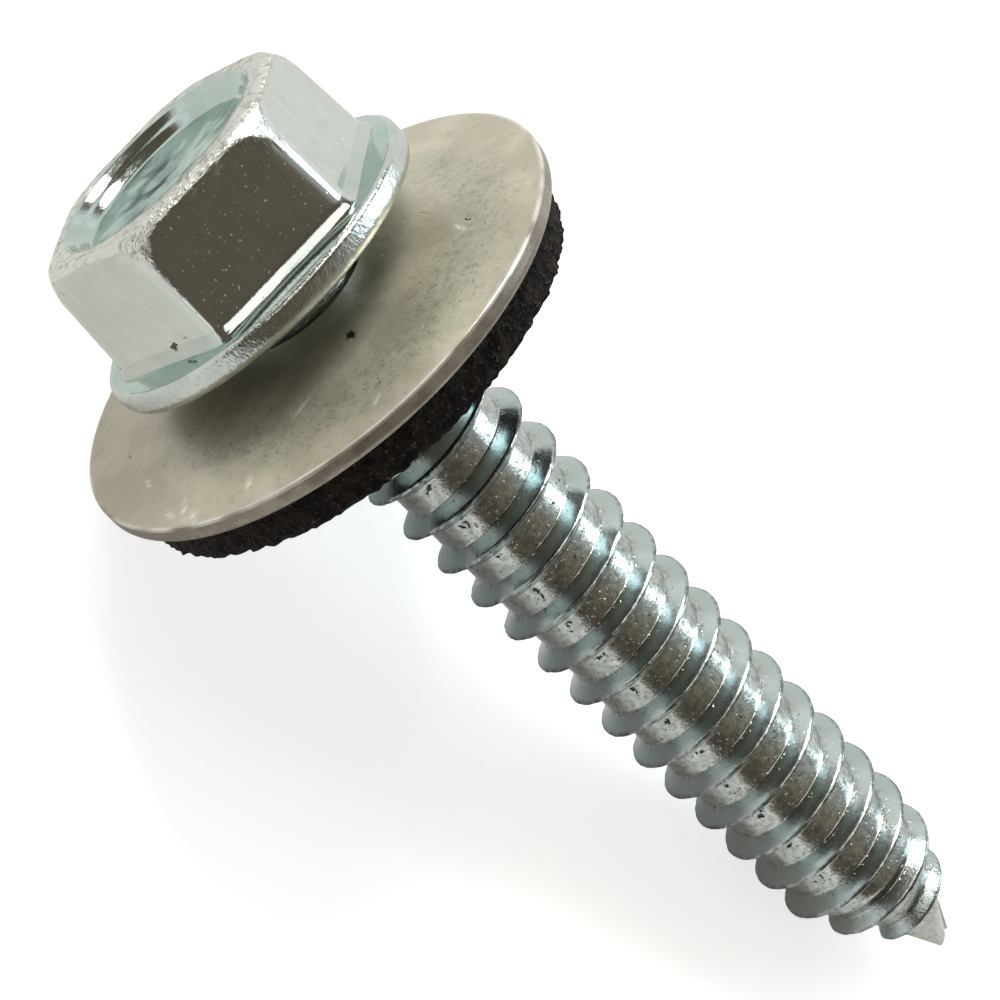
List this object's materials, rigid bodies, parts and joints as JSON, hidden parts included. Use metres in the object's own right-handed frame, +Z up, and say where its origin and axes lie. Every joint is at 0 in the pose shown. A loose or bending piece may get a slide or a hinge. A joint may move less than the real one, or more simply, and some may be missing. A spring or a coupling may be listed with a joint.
{
  "type": "hex washer head self-tapping screw",
  "caption": "Hex washer head self-tapping screw with a dimpled head, coarse pointed thread and a loose bonded sealing washer, lying on its side.",
  "frame": {"origin": "on the floor, under the middle of the part's bounding box, with the screw lying on its side", "axes": "+Z up from the floor, +X level along the screw from head to point; the screw axis falls 11.7 degrees towards the point"},
  "size_m": [0.043, 0.019, 0.018],
  "materials": {
    "zinc_plated_steel": "bright zinc plate, rough at the crown and thread root",
    "galvanised_steel": "satin, worn",
    "epdm_rubber": "matte, cut edge"
  },
  "bodies": {
    "screw": {"screw": "zinc_plated_steel"},
    "washer": {"steel_disc": "galvanised_steel", "rubber_seal": "epdm_rubber"}
  },
  "joints": [
    {"name": "washer_spin", "type": "hinge", "parent": "screw", "child": "washer", "pos_m": [-0.01312, 0, 0.00904], "axis": [0.9469, 0, -0.3214], "continuous": true}
  ]
}
